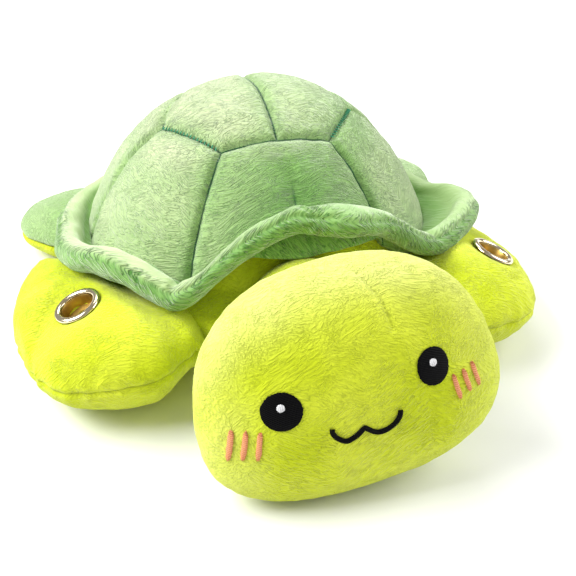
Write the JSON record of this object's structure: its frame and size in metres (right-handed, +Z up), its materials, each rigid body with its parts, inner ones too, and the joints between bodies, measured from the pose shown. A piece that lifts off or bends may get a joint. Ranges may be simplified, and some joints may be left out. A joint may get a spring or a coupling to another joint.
{
  "type": "plush turtle",
  "caption": "Stuffed plush turtle lying flat, with a domed panelled shell in a padded rim, a round tilted head with a stitched face, soft flippers with metal eyelets, and a small tail.",
  "frame": {"origin": "on the belly's flat underside, below the middle of the shell", "axes": "+Z up, the turtle looks along -Y, its left side is at -X"},
  "size_m": [0.335, 0.3571, 0.1444],
  "materials": {
    "lime_plush": "short-pile lime yellow plush",
    "shell_plush": "short-pile soft green plush",
    "rim_plush": "short-pile green plush, a little deeper",
    "filling": "white polyester fibre filling",
    "black_stitch": "black satin stitch",
    "white_stitch": "white satin stitch",
    "blush_stitch": "salmon pink satin stitch",
    "eyelet_metal": "polished pale gold",
    "washer_metal": "plain brass"
  },
  "bodies": {
    "torso": {"shell_top_left": "shell_plush", "shell_top_right": "shell_plush", "shell_front": "shell_plush", "shell_front_left": "shell_plush", "shell_front_right": "shell_plush", "shell_back": "shell_plush", "shell_back_left": "shell_plush", "shell_back_right": "shell_plush", "shell_stuffing": "filling", "shell_rim": "rim_plush", "shell_rim_wadding": "filling", "body_cover": "lime_plush", "belly_panel": "lime_plush", "body_stuffing": "filling"},
    "neck": {"neck_cover": "lime_plush", "neck_stuffing": "filling"},
    "head": {"head_face": "lime_plush", "head_back": "lime_plush", "head_stuffing": "filling", "eye_left": "black_stitch", "eye_right": "black_stitch", "mouth": "black_stitch", "eye_glint_left": "white_stitch", "eye_glint_right": "white_stitch", "cheek_mark_left_1": "blush_stitch", "cheek_mark_left_2": "blush_stitch", "cheek_mark_left_3": "blush_stitch", "cheek_mark_right_1": "blush_stitch", "cheek_mark_right_2": "blush_stitch", "cheek_mark_right_3": "blush_stitch"},
    "front_flipper_left": {"front_flipper_left_top": "lime_plush", "front_flipper_left_bottom": "lime_plush", "front_flipper_left_stuffing": "filling", "eyelet_left": "eyelet_metal", "eyelet_washer_left": "washer_metal"},
    "front_flipper_right": {"front_flipper_right_top": "lime_plush", "front_flipper_right_bottom": "lime_plush", "front_flipper_right_stuffing": "filling", "eyelet_right": "eyelet_metal", "eyelet_washer_right": "washer_metal"},
    "rear_flipper_left": {"rear_flipper_left_top": "shell_plush", "rear_flipper_left_bottom": "lime_plush", "rear_flipper_left_stuffing": "filling"},
    "rear_flipper_right": {"rear_flipper_right_top": "shell_plush", "rear_flipper_right_bottom": "lime_plush", "rear_flipper_right_stuffing": "filling"},
    "tail": {"tail_top": "lime_plush", "tail_bottom": "lime_plush", "tail_stuffing": "filling"}
  },
  "joints": [
    {"name": "head_nod", "type": "hinge", "parent": "torso", "child": "neck", "pos_m": [0, -0.126, 0.046], "axis": [1, 0, 0], "range_deg": [-10, 20], "stiffness_Nm_per_rad": 1},
    {"name": "head_tilt", "type": "hinge", "parent": "neck", "child": "head", "pos_m": [0, -0.126, 0.046], "axis": [0, 1, 0], "range_deg": [-8, 24], "stiffness_Nm_per_rad": 0.8},
    {"name": "front_flipper_left_flap", "type": "hinge", "parent": "torso", "child": "front_flipper_left", "pos_m": [-0.0858, -0.083, 0.0305], "axis": [0.3672, -0.9169, 0.1562], "range_deg": [-8, 35], "stiffness_Nm_per_rad": 0.25},
    {"name": "front_flipper_right_flap", "type": "hinge", "parent": "torso", "child": "front_flipper_right", "pos_m": [0.0858, -0.083, 0.0305], "axis": [0.3672, 0.9169, -0.1562], "range_deg": [-8, 35], "stiffness_Nm_per_rad": 0.25},
    {"name": "rear_flipper_left_flap", "type": "hinge", "parent": "torso", "child": "rear_flipper_left", "pos_m": [-0.0908, 0.0527, 0.0195], "axis": [-0.4163, -0.9092, 0], "range_deg": [-5, 30], "stiffness_Nm_per_rad": 0.12},
    {"name": "rear_flipper_right_flap", "type": "hinge", "parent": "torso", "child": "rear_flipper_right", "pos_m": [0.0908, 0.0527, 0.0195], "axis": [-0.4163, 0.9092, 0], "range_deg": [-5, 30], "stiffness_Nm_per_rad": 0.12},
    {"name": "tail_flap", "type": "hinge", "parent": "torso", "child": "tail", "pos_m": [0, 0.0995, 0.03], "axis": [-1, 0, 0], "range_deg": [-12, 30], "stiffness_Nm_per_rad": 0.03}
  ]
}
